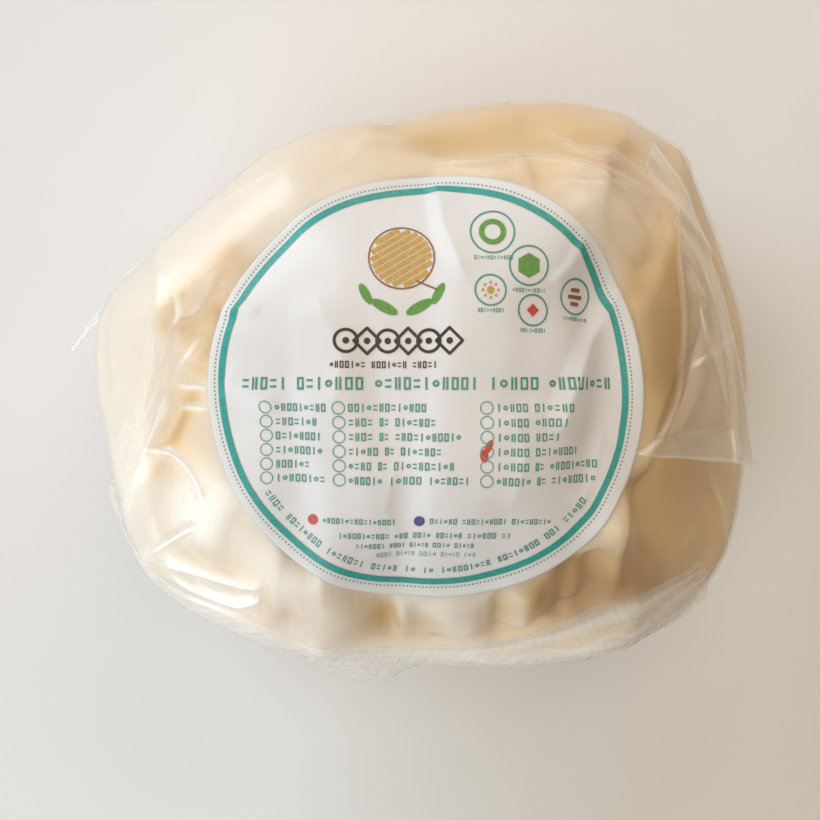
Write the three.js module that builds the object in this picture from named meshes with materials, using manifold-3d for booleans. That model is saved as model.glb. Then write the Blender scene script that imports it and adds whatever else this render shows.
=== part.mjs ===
// A ball of wound string cheese in a clear, closed bag, lying on a table with its round paper label on top.
// Millimetres. +X is to the right and +Y away in a view from above, +Z is up.
// The bag is tight on the cheese, so the bag and its contents are one solid: a squat ball, wider on the right than on
// the left, that shows the crossing ribbons of cheese in relief. Its film ends stand off as thin flaps.
// The label is a thin round sheet that follows the top of the bag.
import * as THREE from "three";
import { mergeVertices } from "three/addons/utils/BufferGeometryUtils.js";
import Module from "manifold-3d";

// The ball: its widest section lies at GIRTH above the table, and it is REACH_UP high above and below that,
// before its own weight flattens it on the table.
const GIRTH = 40;
const REACH_UP = 43;
const SQUARENESS = 2.35;
// How far the ball reaches from its middle, at even turns anticlockwise from +X.
const PLAN_REACH = [
  60, 59.5, 58.5, 63.5, 59, 52, 48, 49, 50.5, 50, 53.5, 60,
  58.5, 58, 60, 55.5, 51.5, 48.5, 47.5, 51, 56, 61.5, 63, 61,
];

// The ribbons of cheese, in the order they are wound. Each lies in a plane: turn and lean are the azimuth and
// elevation of the plane's normal in degrees, offset is the plane's distance from the ball's middle, half is half
// the ribbon's width and rise its thickness.
const RIBBONS = [
  { turn: 60, lean: 15, offset: -10, half: 19, rise: 2.0 },
  { turn: 135, lean: -25, offset: 8, half: 18, rise: 2.0 },
  { turn: 100, lean: 50, offset: -24, half: 15, rise: 2.5 },
  { turn: 20, lean: 35, offset: 30, half: 14, rise: 2.5 },
  { turn: -12, lean: 3, offset: 55, half: 9, rise: 2.5 },
  { turn: -2, lean: -6, offset: -38, half: 14, rise: 3.0 },
  { turn: 4, lean: 4, offset: -12, half: 10, rise: 2.6 },
  { turn: -6, lean: 4, offset: 25, half: 11, rise: 2.0 },
  { turn: -3, lean: -4, offset: 6, half: 11, rise: 3.4 },
  { turn: -12.7, lean: 0, offset: 41, half: 8, rise: 4.2 },
  { turn: -85, lean: 82, offset: -26, half: 14, rise: 3.0 },
  { turn: -53.5, lean: 76.7, offset: 10, half: 15, rise: 3.6 },
];
const RIBBON_EDGE = 7; // how far the rounded edge of a ribbon under film reaches in from its side
const RIBBON_CROWN = 0.45; // how much lower a ribbon is at its sides, as a share of its rise
const WANDER = 1.4; // how far a ribbon strays to either side of its plane
const EVENING = 0.7; // how much of the relief below a ribbon its own weight evens out
const FIRST_LEVEL = 1;
const LEVEL_STEP = 0.55;
const MEAN_LEVEL = 6;
const FILM_SHARE = 0.85; // the tight film bridges the grooves between ribbons, so it shows this share of their depth
const PAPER_SHARE = 0.3; // the same under the label, whose stiff paper bridges them further
const PAPER_EASE = [34, 49]; // the distances from the label's middle between which the one gives way to the other
const FILM_GAP = 0.7; // from the cheese to the outside of the film

// The film's flaps: each a thin sheet from a root line inside the ball to a free rim, both running clockwise as seen
// from above. Points are x, y and height.
const FLAP_THICKNESS = 1.4;
const FLAPS = [
  {
    about: "the bag's flat square corner, lying over the right shoulder",
    root: [[30, 43, 56], [43, 27, 62], [47, 8, 67], [42, -13, 69.5]],
    rim: [[40, 42, 59], [54, 25, 61], [60, 6, 61], [63.5, -15, 60]],
    steps: [14, 5],
  },
  {
    about: "the gathered end of the bag, folded round the front",
    root: [[48, -31, 34], [38, -37, 31], [24, -40, 28], [4, -39, 27], [-12, -39, 28], [-27, -37, 30], [-40, -30, 34],
      [-46, -19, 38], [-47, -10, 40]],
    rim: [[58, -45, 33], [43, -50.5, 28], [29, -55.5, 23], [3, -55.5, 20], [-10, -59.5, 18], [-34, -48.5, 25],
      [-51, -38.5, 31], [-60, -23, 38], [-59, -13, 41]],
    steps: [30, 3],
  },
  {
    about: "the small tip at the left",
    root: [[-50, 3, 42], [-50, 12, 43], [-46, 20, 44]],
    rim: [[-58, 1, 42], [-65, 10.5, 44], [-55, 25, 47]],
    steps: [8, 3],
  },
];

// The label: a round sheet of this radius, measured along the bag, pasted a little to the right of the ball's top.
const LABEL_RADIUS = 41.5;
const LABEL_THICKNESS = 0.7;
const LABEL_GAP = 0.2;
const LABEL_SINK = 1.2; // how deep the uncut label reaches, before the bag is cut from it
const LABEL_AXIS = new THREE.Vector3(2.1, -0.8, REACH_UP).normalize();
const LABEL_RINGS = 10;
const LABEL_SIDES = 48;

const BAG_DETAIL = 20;
const SHORTEST_EDGE = 0.01; // shorter ones, left where two meshes meet, are drawn together

const wasm = await Module();
wasm.setup();

// The plan reach at any azimuth: a closed Catmull-Rom curve through PLAN_REACH.
function planReach(azimuth) {
  const count = PLAN_REACH.length;
  const turns = azimuth / (2 * Math.PI);
  const place = (turns - Math.floor(turns)) * count;
  const knot = Math.floor(place);
  const f = place - knot;
  const [a, b, c, d] = [-1, 0, 1, 2].map((i) => PLAN_REACH[(knot + i + count) % count]);
  return b + 0.5 * f * (c - a + f * (2 * a - 5 * b + 4 * c - d + f * (3 * (b - c) + d - a)));
}

// The unit vector at a turn and a lean, in degrees.
function heading(turn, lean) {
  const a = THREE.MathUtils.degToRad(turn);
  const e = THREE.MathUtils.degToRad(lean);
  return new THREE.Vector3(Math.cos(a) * Math.cos(e), Math.sin(a) * Math.cos(e), Math.sin(e));
}

// How high the wound ribbons stand at a point of the plain ball. Each ribbon evens out what it covers, then adds
// its own crowned thickness.
function windingHeight(point) {
  let height = 0;
  RIBBONS.forEach((ribbon, order) => {
    const normal = heading(ribbon.turn, ribbon.lean);
    const start = heading(ribbon.turn + 90, 0);
    const quarter = normal.clone().cross(start);
    const along = Math.atan2(point.dot(quarter), point.dot(start));
    const across = point.dot(normal) - ribbon.offset + WANDER * Math.sin(3 * along + 1.7 * order);
    const cover = THREE.MathUtils.smoothstep(ribbon.half - Math.abs(across), 0, RIBBON_EDGE);
    const crowned = ribbon.rise * (1 - RIBBON_CROWN * (across / ribbon.half) ** 2);
    height += cover * (crowned - EVENING * (height - FIRST_LEVEL - LEVEL_STEP * order));
  });
  return height;
}

// Slow unevenness of the whole ball.
function lumps({ x, y, z }) {
  return (
    0.7 * Math.sin(x / 13 + 1) * Math.sin(y / 11 + 2) +
    0.6 * Math.sin(y / 9 + z / 14 + 4) * Math.sin(z / 12 + x / 21)
  );
}

// The point of the bag's outside in a direction from the ball's middle, raised by extra, before the table flattens it.
function bagPoint(direction, extra = 0) {
  const u = direction.clone().normalize();
  const flat = Math.hypot(u.x, u.y) / planReach(Math.atan2(u.y, u.x));
  const up = Math.abs(u.z) / REACH_UP;
  const radius = (flat ** SQUARENESS + up ** SQUARENESS) ** (-1 / SQUARENESS);
  const point = u.clone().multiplyScalar(radius);
  const fromLabel = u.z > 0 ? point.clone().cross(LABEL_AXIS).length() : Infinity;
  const share = THREE.MathUtils.lerp(PAPER_SHARE, FILM_SHARE, THREE.MathUtils.smoothstep(fromLabel, ...PAPER_EASE));
  const relief = share * (windingHeight(point) - MEAN_LEVEL) + lumps(point) + FILM_GAP;
  return u.multiplyScalar(radius + relief + extra);
}

// Moves every vertex of a geometry, which is left with positions only and shared vertices.
function reshape(geometry, move) {
  geometry.deleteAttribute("normal");
  geometry.deleteAttribute("uv");
  const merged = mergeVertices(geometry, 1e-5);
  const position = merged.getAttribute("position");
  for (let i = 0; i < position.count; i++) {
    const p = move(new THREE.Vector3().fromBufferAttribute(position, i));
    position.setXYZ(i, p.x, p.y, p.z);
  }
  return merged;
}

function solidFrom(geometry) {
  return new wasm.Manifold(
    new wasm.Mesh({
      numProp: 3,
      vertProperties: new Float32Array(geometry.getAttribute("position").array),
      triVerts: new Uint32Array(geometry.index.array),
    }),
  );
}

function geometryFrom(solid) {
  const { vertProperties, triVerts } = solid.getMesh();
  return new THREE.BufferGeometry()
    .setAttribute("position", new THREE.BufferAttribute(vertProperties, 3))
    .setIndex(new THREE.BufferAttribute(triVerts, 1));
}

// The filled bag without its flaps, raised by extra. What would lie below the table is pressed flat on it.
function filledBag(extra = 0) {
  return reshape(new THREE.IcosahedronGeometry(1, BAG_DETAIL), (v) => {
    const p = bagPoint(v, extra);
    return p.setZ(Math.max(p.z + GIRTH, 0));
  });
}

// A flap: a box of many cells, bent so that its length runs along the root and the rim, and its width from one to
// the other. It is thinnest at the rim.
function flapSheet({ root, rim, steps }) {
  const [rootLine, rimLine] = [root, rim].map(
    (points) => new THREE.CatmullRomCurve3(points.map((p) => new THREE.Vector3(...p)), false, "centripetal"),
  );
  return reshape(new THREE.BoxGeometry(1, 1, 1, steps[0], steps[1], 1), (v) => {
    const along = v.x + 0.5;
    const out = v.y + 0.5;
    const thickness = FLAP_THICKNESS * (1 - 0.3 * out);
    const p = rootLine.getPoint(along).lerp(rimLine.getPoint(along), out);
    return p.setZ(p.z + v.z * thickness);
  });
}

// The label's point at a turn round its axis and a distance from its middle, measured along the bag, lifted by extra.
function labelLine(turn, extra) {
  const side = new THREE.Vector3(1, 0, 0).addScaledVector(LABEL_AXIS, -LABEL_AXIS.x).normalize();
  const other = LABEL_AXIS.clone().cross(side);
  const outward = side.multiplyScalar(Math.cos(turn)).addScaledVector(other, Math.sin(turn));
  const step = 0.01;
  const line = [bagPoint(LABEL_AXIS, extra)];
  const lengths = [0];
  for (let tilt = step; lengths.at(-1) < LABEL_RADIUS; tilt += step) {
    const direction = LABEL_AXIS.clone().multiplyScalar(Math.cos(tilt)).addScaledVector(outward, Math.sin(tilt));
    const next = bagPoint(direction, extra);
    lengths.push(lengths.at(-1) + next.distanceTo(line.at(-1)));
    line.push(next);
  }
  return (distance) => {
    const i = Math.max(1, lengths.findIndex((length) => length >= distance));
    const share = (distance - lengths[i - 1]) / (lengths[i] - lengths[i - 1]);
    return line[i - 1].clone().lerp(line[i], share);
  };
}

// The label before the bag is cut from it: a flat cylinder of rings, laid along the bag.
function labelSheet() {
  const low = -LABEL_SINK;
  const high = LABEL_GAP + LABEL_THICKNESS;
  const profile = [];
  for (let i = 0; i <= LABEL_RINGS; i++) profile.push(new THREE.Vector2(i / LABEL_RINGS, low));
  for (let i = LABEL_RINGS; i >= 0; i--) profile.push(new THREE.Vector2(i / LABEL_RINGS, high));
  const lathe = new THREE.LatheGeometry(profile, LABEL_SIDES);
  const lines = new Map();
  return reshape(lathe, (v) => {
    const turn = Math.atan2(-v.z, v.x);
    const key = `${turn.toFixed(4)} ${v.y.toFixed(2)}`;
    if (!lines.has(key)) lines.set(key, labelLine(turn, v.y));
    const p = lines.get(key)(LABEL_RADIUS * Math.hypot(v.x, v.z));
    return p.setZ(p.z + GIRTH);
  });
}

const bag = FLAPS.reduce((solid, flap) => solid.add(solidFrom(flapSheet(flap))), solidFrom(filledBag()));
const label = solidFrom(labelSheet()).subtract(solidFrom(filledBag(LABEL_GAP)));

const cheeseInFilm = new THREE.MeshStandardMaterial({ color: 0xf3e3c3, roughness: 0.25, metalness: 0 });
const paper = new THREE.MeshStandardMaterial({ color: 0xefebe6, roughness: 0.6, metalness: 0 });

const bagMesh = new THREE.Mesh(geometryFrom(bag.simplify(SHORTEST_EDGE)), cheeseInFilm);
bagMesh.name = "bag";
const labelMesh = new THREE.Mesh(geometryFrom(label.simplify(SHORTEST_EDGE)), paper);
labelMesh.name = "label";

// The part's origin is on the table, under the middle of the whole, flaps included.
const part = new THREE.Group();
part.add(bagMesh, labelMesh);
const middle = new THREE.Box3().setFromObject(part).getCenter(new THREE.Vector3());
part.position.set(-middle.x, -middle.y, 0);

export default part;
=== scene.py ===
# A ball of wound string cheese in a clear, closed bag, with a round paper label, on a pale table.
# Shapes are worked out in millimetres from the ball's middle, and put in the frame in metres.
import math

import bmesh
import bpy
import numpy as np
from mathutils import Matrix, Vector
from mathutils.bvhtree import BVHTree


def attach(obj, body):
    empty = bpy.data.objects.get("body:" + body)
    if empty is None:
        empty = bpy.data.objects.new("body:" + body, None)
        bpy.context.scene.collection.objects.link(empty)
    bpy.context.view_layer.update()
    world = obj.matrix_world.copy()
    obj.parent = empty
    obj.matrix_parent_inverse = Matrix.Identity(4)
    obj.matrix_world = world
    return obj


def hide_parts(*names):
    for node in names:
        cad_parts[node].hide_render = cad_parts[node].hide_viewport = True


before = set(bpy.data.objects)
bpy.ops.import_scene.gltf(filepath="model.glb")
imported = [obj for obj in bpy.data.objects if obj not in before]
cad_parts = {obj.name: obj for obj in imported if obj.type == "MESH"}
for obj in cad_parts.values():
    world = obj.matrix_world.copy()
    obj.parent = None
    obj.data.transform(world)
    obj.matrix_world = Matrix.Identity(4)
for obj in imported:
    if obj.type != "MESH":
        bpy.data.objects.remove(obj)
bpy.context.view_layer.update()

MM = 0.001
BALL_MIDDLE = np.array([0.73, 2.51, 40])  # in the frame, whose origin is under the middle of the whole

# The ball of cheese, as in the part's source: its height above and below its widest section, how square it is,
# and its reach in plan at even turns anticlockwise from +X.
REACH_UP = 43
SQUARENESS = 2.35
PLAN_REACH = np.array([
    60, 59.5, 58.5, 63.5, 59, 52, 48, 49, 50.5, 50, 53.5, 60,
    58.5, 58, 60, 55.5, 51.5, 48.5, 47.5, 51, 56, 61.5, 63, 61,
])

# The wound ribbons, each in a plane: the turn and lean of its normal, its offset from the ball's middle, half
# its width, and its thickness. All turns and leans are in degrees.
RIBBONS = (
    (60, 15, -10, 19, 2),
    (135, -25, 8, 18, 2),
    (100, 50, -24, 15, 2.5),
    (20, 35, 30, 14, 2.5),
    (-12, 3, 55, 9, 2.5),
    (-2, -6, -38, 14, 3),
    (4, 4, -12, 10, 2.6),
    (-6, 4, 25, 11, 2),
    (-3, -4, 6, 11, 3.4),
    (-12.7, 0, 41, 8, 4.2),
    (-85, 82, -26, 14, 3),
    (-53.5, 76.7, 10, 15, 3.6),
)
RIBBON_EDGE = 3.6  # over what width its side rises
RIBBON_CROWN = 0.45  # how much thinner it is at its sides
WANDER = 1.4  # how far it strays to either side of its plane
WANDER_STEP = 1.7  # how much later each next one strays, in radians
EVENING = 0.7  # how much of the relief below it its weight evens out
FIRST_LEVEL = 1
LEVEL_STEP = 0.55
MEAN_LEVEL = 6
FIBRES_APART = 60  # sets one ribbon's fibres apart from the next one's
FIBRE_RADIUS = 55

# The film and the label on the ball.
FILM_GAP = 0.5  # from the cheese to the film
LEAST_GAP = 0.3  # the same where the paper presses, and from the cheese to the table
FILM_THICKNESS = 0.1
TENSION_ROUNDS = 250
LABEL_RADIUS = 41.5
LABEL_AXIS = np.array([2.1, -0.8, REACH_UP]) / np.linalg.norm([2.1, -0.8, REACH_UP])
PAPER_SHARE = 0.3  # how much of the relief shows under the stiff paper
PAPER_EDGE = 7  # as RIBBON_EDGE, under the paper
PAPER_RISE = 0.7
PRESSED_REACH = 34  # how far from the label's axis the paper presses the film flat
PRESSED_FADE = 10
CREASE_START = 37  # how far from the label's axis creases begin
CREASE_FADE = 4
PAPER_THICKNESS = 0.15
PAPER_LIFT = 0.05  # from the film to the paper
PAPER_RINGS = 90
PAPER_SIDES = 360
INK_LIFT = 0.1  # from the paper to the print

# Linear colours.
PALE_CHEESE = (0.875, 0.758, 0.632)
# These two colours are painted shade, for the cheese's hollows and shaded sides.
SHADED_CHEESE = (0.74, 0.50, 0.235)
DEEPLY_SHADED_CHEESE = (0.54, 0.33, 0.14)
CLEAR_FILM = (0.985, 0.98, 0.965)
# The white of the film's haze, and of the highlights painted on its folds.
HAZE_AND_GLINT_WHITE = (0.93, 0.90, 0.86)
PALE_PAPER = (0.85, 0.805, 0.785)
DULL_PAPER = (0.80, 0.755, 0.735)

# The film's looks.
SHEEN_SHARE = 0.75  # the share of its gloss that is blurred
GLOW_SHARE = 0.3  # the share of its haze that lets light through
MOST_SHINE = 0.18  # the greatest share of light that it mirrors, at a glancing angle
FOLD_SHINE = 0.14  # the share that hazy folds mirror beyond that of plain film
TIGHT_FILM = (1, 0.06)  # how strongly it mirrors and how hazy it is throughout
LOOSE_FILM = (1.4, 0.03)

# Places where the cheese sinks in or swells: turns and leans from the ball's middle of points along each, how
# far it reaches to each side, and its height.
SHAPING = (
    (((86, 31), (76, 31), (67, 28)), 5, -2.6),
    (((100, 31), (93, 31)), 5, 1.8),
    (((50, 36), (43, 31)), 12, 3),
    (((26, 45), (8, 43), (-8, 43), (-26, 44)), 8, -2.2),
    (((133, 43), (149, 44), (160, 41), (167, 38)), 2.6, -1.5),
    (((160, 42), (165, 43), (171, 41)), 2.4, -1.7),
    (((182, 38), (191, 32)), 2.6, -1.2),
    (((166, 15), (180, 18)), 2.2, -1),
    (((240, 28), (240, 38)), 8, 3),
    (((242, 34), (245, 31), (249, 25), (251, 14)), 4.6, 2.4),
    (((254, 36), (260, 31), (263, 25)), 2.6, -1.2),
    (((279, 33), (279, 29), (279, 22)), 4, 1.5),
    (((287, 34), (287, 30), (286, 24)), 4, -1),
    (((296, 34), (294.5, 31), (293, 26)), 2.6, 2),
    (((312.5, 36), (309.5, 32), (306, 27), (304, 20)), 4.2, -3),
    (((316.5, 35), (314, 32), (310, 27), (308, 20)), 3.4, -3.2),
    (((329, 38), (324, 38), (318.5, 33), (315, 28)), 2.2, 1.4),
    (((334, 36), (328, 34), (321.5, 31), (317, 27)), 3.6, -3.8),
    (((315, 24), (309, 27), (297, 25), (287, 23), (275, 22)), 1.4, -1.6),
)
SHADE_YELLOWING = 0.95  # painted shade: how much yellower the cheese is coloured at the sides that lie away from the light
# Those shaded sides: a direction, how far out the painted shade begins, and over what distance it grows.
SHADED_SIDES = (
    ((0.68, 0.73, 0), 2, 50),
    ((1, 0, 0), 12, 34),
)
SHADED_SIDES_TOP = 46  # none of it above this height over the ball's middle
SHADED_SIDES_FADE = 18
SHADED_HOLLOW_DEPTH = 4  # hollows this far under the film are coloured yellower too, as painted shade
PAINTED_SHADE_SHARE = 0.75  # the painted shade of both, as a share of the deepest
# Places painted paler, as painted light, or darker, as painted shade: turns and leans of points along each,
# how far it reaches to each side, and how much it yellows there.
PAINTED_LIGHT_AND_SHADE_PLACES = (
    (((44, 35), (35, 41)), 8, -0.5),
    (((35, 29), (44, 20)), 6, -0.3),
    (((51, 14), (48, 10)), 6, -0.3),
    (((16, 38), (4, 37)), 7, 0.35),
    (((300, 32), (307, 26), (314, 24)), 6, 0.5),
    (((309, 38), (303, 31)), 4.5, 0.4),
    (((22, 24), (5, 24), (345, 24)), 9, 0.2),
    (((297, 8), (306, 4), (318, 4)), 6, 0.25),
    (((206, 30), (207, 22)), 7, -0.3),
    (((145, 39), (155, 37), (166, 34)), 2.8, 0.55),
    (((162, 43), (175, 41)), 2.4, 0.5),
    (((184, 37), (197, 27)), 2.2, 0.25),
    (((322, 29), (318, 20)), 5, 0.3),
)
SIDE_FILL = 0.85  # how much of the space under the film the cheese takes up round its widest section
SIDE_REACH = 15

# Hollows under the film that the cheese fills: points and reach as above, and how much of the space it takes.
FILLINGS = (
    (((44, 40), (35, 39), (24, 37), (15, 39)), 8, 0.85),
    (((40, 34), (33, 32)), 8, 0.85),
    (((237, 34), (245, 29), (248, 22)), 8, 0.9),
)

# Creases of the film: turns and leans of the points that each passes through, its height, its width to its
# right and to its left, and how white the film is along it, as haze and painted highlights. Those without
# height are only painted light and painted highlights, whitening the film.
FILM_CREASES = (
    (((153, 30), (164, 38), (172, 38), (181, 35), (190, 29), (197, 12)), 1, 1.1, 1.1, 0.6),
    (((155, 26), (158, 31), (171, 34), (176, 34), (186, 30), (195, 16)), 0.8, 1, 1.1, 0.5),
    (((160, 44), (173, 41), (177, 39), (186, 34), (193, 30), (202, 17)), 1.2, 1.3, 1.2, 0.6),
    (((146, 44), (154, 42), (162, 41), (167, 38), (175, 36), (184, 32)), 1.2, 1.8, 1.3, 0.3),
    (((182, 40), (184, 37), (192, 31), (196, 27), (200, 20), (204, 15), (212, 8)), 0.8, 1.1, 1.1, 0.6),
    (((180, 38), (180, 46)), 0.4, 0.6, 0.6, 0.9),
    (((185, 38), (186, 45)), 0.4, 0.6, 0.6, 0.9),
    (((190, 25), (194, 31), (195, 34), (198, 36), (202, 37), (205, 37), (208, 36), (211, 34)),
     0.8, 0.9, 0.9, 1),
    (((203, 38), (206, 37), (210, 34), (213, 31), (214, 29)), 0, 3.6, 3.6, 0.3),
    (((213, 34), (212, 30), (212, 25), (212, 16), (212, 8)), 0.8, 0.8, 0.9, 0.9),
    (((210, 3), (216, 22), (222, 26), (226, 28), (230, 30), (234, 32)), 0.9, 0.9, 1.2, 1),
    (((210, 0), (218, 19), (222, 20), (227, 22), (231, 24), (233.5, 28), (230, 34)), 0.9, 1, 1, 1),
    (((219, 23), (223, 24), (228, 25), (231, 28), (232, 30)), 0, 1.8, 1.8, 0.8),
    (((228, 26), (238, 26), (248, 27), (262, 29)), 0, 9, 9, 0.18),
    (((56, 38), (46, 37), (36, 34), (26, 32)), 0, 8, 8, 0.18),
    (((352, 12), (344, 7), (336, 3)), 0, 3, 3, 0.3),
    (((98, 36), (82, 37), (74, 38), (62, 36), (49, 32), (37, 26), (25, 19), (14, 8)), 1.1, 1.1, 1.8, 0.35),
    (((66, 24), (61, 30), (56, 31), (50, 28), (44, 27), (37, 25), (28, 20)), 0.9, 1, 1.4, 0.3),
    (((60, 40), (50, 36), (43, 31), (36, 27), (24, 24), (10, 22)), 1, 1, 1.6, 0.3),
    (((49, 36), (40, 32), (32, 27)), 0.9, 1.6, 2.4, 0.3),
    (((29, 27), (19, 26), (10, 21), (3, 17), (-4, 11)), 0.6, 0.8, 0.9, 0.3),
    (((-15, 24), (-22, 14), (-27, 8), (-32, 4)), 0.8, 0.8, 0.9, 0.4),
    (((140, 24), (130, 28), (120, 31)), 0.3, 0.7, 0.7, 0.15),
    (((238, 14), (243, -5), (246, -20)), 1, 1.2, 1.2, 0.3),
    (((120, 12), (124, -2), (126, -20)), 0.9, 1.2, 1, 0.3),
    (((75, 8), (72, -4), (74, -22)), 0.5, 1.2, 1, 0.3),
    (((40, 8), (38, -6), (42, -24)), 0.9, 1, 1.2, 0.3),
    (((-5, 5), (-8, -12), (-4, -28)), 0.9, 1.2, 1, 0.3),
    (((165, 5), (162, -12), (166, -28)), 0.9, 1.2, 1, 0.3),
    (((100, 4), (98, -8), (102, -24)), 0.5, 1, 1.2, 0.3),
    (((268, 4), (262, -14), (266, -30)), 0.9, 1, 1.2, 0.3),
    (((300, 6), (304, -10), (300, -28)), 0.9, 1.2, 1, 0.3),
)

# Bands of drawn film: the turns and leans of the points of its two sides, how hazy it is, and how streaky.
FILM_BANDS = (
    (((150, 26), (164, 32), (180, 29), (190, 22), (200, 8)),
     ((156, 45), (170, 44), (184, 38), (195, 30), (206, 14)), 0.15, 0.3),
    (((98, 36), (71, 36), (60, 30), (49, 26), (42, 24), (37, 23), (22, 17), (4, 10)),
     ((98, 39), (70, 40), (57, 38), (49, 36), (38, 30), (29, 27), (19, 25), (2, 22)), 0.12, 0.35),
    (((214, 11), (231, 21), (245, 19), (257, 22), (270, 22), (287, 23), (297, 25), (309, 27), (325, 14),
      (338, 8)),
     tuple((turn, -8) for turn in (214, 231, 245, 257, 270, 287, 297, 309, 325, 338)), 0.14, 0.35),
    (((338, -8), (350, -4), (10, -2), (40, -4), (80, -6), (120, -8), (160, -8), (200, -8), (214, -8)),
     tuple((turn, -40) for turn in (338, 350, 10, 40, 80, 120, 160, 200, 214)), 0.08, 0.3),
)
BAND_EDGE = 0.3  # the share of its width over which it fades
BAND_TAPER = 0.12  # the share of its length over which each end does
BANDS_APART = 40  # sets one band's streaks apart from the next one's
CREASE_TAPER = 0.25
CREASE_FOOT = 2.2  # how many widths away its foot lies
CREASE_POWER = 1.6  # how hollow its sides are
CREASE_REACH = 1.8  # how far from a crease the film is divided more finely

# The film's loose ends, close to the plates in the part's source, but with a narrower and longer tip. A root's
# points are turns and leans on the tight film, and a rim's are x, y and height above the table.
SHOULDER_ROOT = ((43, 25), (34, 25), (25, 28), (14, 31), (4, 33), (-4, 34), (-12, 37), (-18, 41))
SHOULDER_RIM = ((40, 42, 59), (54, 25, 61), (60, 6, 61), (63.5, -15, 60))
GATHER_ROOT = ((328, 12), (316, 24), (309, 27), (297, 25), (287, 23), (270, 22), (257, 22), (244, 19),
               (231, 21), (217, 12), (206, 10), (196, 9))
GATHER_RIM = ((58, -45, 33), (43, -50.5, 28), (29, -55.5, 23), (3, -55.5, 20), (-10, -59.5, 18),
              (-34, -50.5, 24), (-51, -40, 30), (-60, -23, 38), (-59, -13, 41))
TIP_ROOT = ((167, 8), (162, 10), (156, 12))
TIP_RIM = ((-67.2, 6, 42.5), (-67.8, 6.8, 43), (-67.2, 8.2, 43.5))
ROOT_SINK = 0.4  # how deep a loose end starts in the tight film
LOOSE_GAP = 0.35  # how far it stays outside the tight film from there on
ROOT_SHARE = 0.1  # the share of its width over which it comes out of the tight film
LINE_STEPS = 400

# Folds of the paper, in the flat label's millimetres: points, height, and width to the right and to the left.
PAPER_FOLDS = (
    (((38.5, 21.5), (31, 9), (25, -3), (23, -10)), 1.4, 1.7, 7),
    (((29.5, 29), (26, 22.5), (22, 19)), 0.6, 0.8, 1.6),
    (((1.5, 41), (2.5, 30), (7, 18)), 0.9, 1.2, 2.2),
    (((-40, 14), (-35, 15), (-31, 14)), 0.6, 1, 1.2),
    (((-39, 2), (-34, 0), (-26, -3)), 0.7, 2, 3),
    (((-22, 20), (-16, 6), (-18, -8)), 0.9, 5, 4),
    (((14, -2), (17, -12), (14, -24)), 0.9, 4, 5),
    (((-6, -12), (-8, -22), (-4, -32)), 0.7, 4, 3),
    (((33, -6), (31, -16), (26, -25)), 0.8, 2.6, 3.6),
)


def heading(turn, lean):
    """The unit vector at a turn and a lean in degrees."""
    a = math.radians(turn)
    e = math.radians(lean)
    return np.array([math.cos(a) * math.cos(e), math.sin(a) * math.cos(e), math.sin(e)])


def ease(t):
    """From 0 to 1, smoothly."""
    t = np.clip(t, 0, 1)
    return t * t * (3 - 2 * t)


def tapered(place, share):
    """1 along a line, and down to 0 over that share of it at either end."""
    return ease(place / share) * ease((1 - place) / share)


def fading(distance, width):
    """1 at no distance, and down to 0 within a few widths."""
    return np.exp(-((distance / width) ** 2))


def between(a, b, c, d, share):
    """A smooth curve through four places in turn, from the second to the third."""
    return b + 0.5 * share * (c - a + share * (2 * a - 5 * b + 4 * c - d + share * (3 * (b - c) + d - a)))


def plan_reach(azimuth):
    """The ball's reach in plan at azimuths in radians."""
    place = (azimuth / (2 * np.pi) % 1) * len(PLAN_REACH)
    knot = np.floor(place).astype(int)
    return between(*(PLAN_REACH[(knot + i) % len(PLAN_REACH)] for i in (-1, 0, 1, 2)), place - knot)


def plain_ball(directions):
    """The points of the plain ball in unit directions from its middle."""
    azimuths = np.arctan2(directions[:, 1], directions[:, 0])
    flat = np.hypot(directions[:, 0], directions[:, 1]) / plan_reach(azimuths)
    up = np.abs(directions[:, 2]) / REACH_UP
    return directions * ((flat**SQUARENESS + up**SQUARENESS) ** (-1 / SQUARENESS))[:, None]


def on_ball(spots):
    """The plain ball's points at turns and leans."""
    return plain_ball(np.array([heading(*spot) for spot in spots]))


def winding(points, edge):
    """How high the wound ribbons stand at points of the plain ball, each point's place in its top ribbon, and
    how clear the fibres are there, which is 0 at a ribbon's sides."""
    height = np.zeros(len(points))
    lay = np.zeros((len(points), 3))
    fibre = np.ones(len(points))
    for order, (turn, lean, offset, half, rise) in enumerate(RIBBONS):
        normal = heading(turn, lean)
        start = heading(turn + 90, 0)
        quarter = np.cross(normal, start)
        along = np.arctan2(points @ quarter, points @ start)
        across = points @ normal - offset + WANDER * np.sin(3 * along + WANDER_STEP * order)
        cover = ease((half - np.abs(across)) / edge)
        crowned = rise * (1 - RIBBON_CROWN * (across / half) ** 2)
        height += cover * (crowned - EVENING * (height - FIRST_LEVEL - LEVEL_STEP * order))
        top = cover > 0.5
        place = [across + FIBRES_APART * order, FIBRE_RADIUS * along, np.full(len(along), order)]
        lay[top] = np.stack(place, axis=1)[top]
        fibre = np.where(top, 2 * cover - 1, np.minimum(fibre, 1 - 2 * cover))
    return height, lay, fibre


def lumps(points):
    """Slow, uneven waves of the cheese at points of the plain ball."""
    x, y, z = points.T
    slow = 0.7 * np.sin(x / 13 + 1) * np.sin(y / 11 + 2)
    return slow + 0.6 * np.sin(y / 9 + z / 14 + 4) * np.sin(z / 12 + x / 21)


def pulled_tight(lowest, edges):
    """A skin's radii, evened out as tension does, from the lowest that are allowed and never below them."""
    radius = lowest
    count = len(lowest)
    shares = np.bincount(edges.ravel(), minlength=count)
    for _ in range(TENSION_ROUNDS):
        total = np.bincount(edges[:, 0], radius[edges[:, 1]], count)
        total += np.bincount(edges[:, 1], radius[edges[:, 0]], count)
        radius = np.maximum(total / shares, lowest)
    return radius


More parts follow.
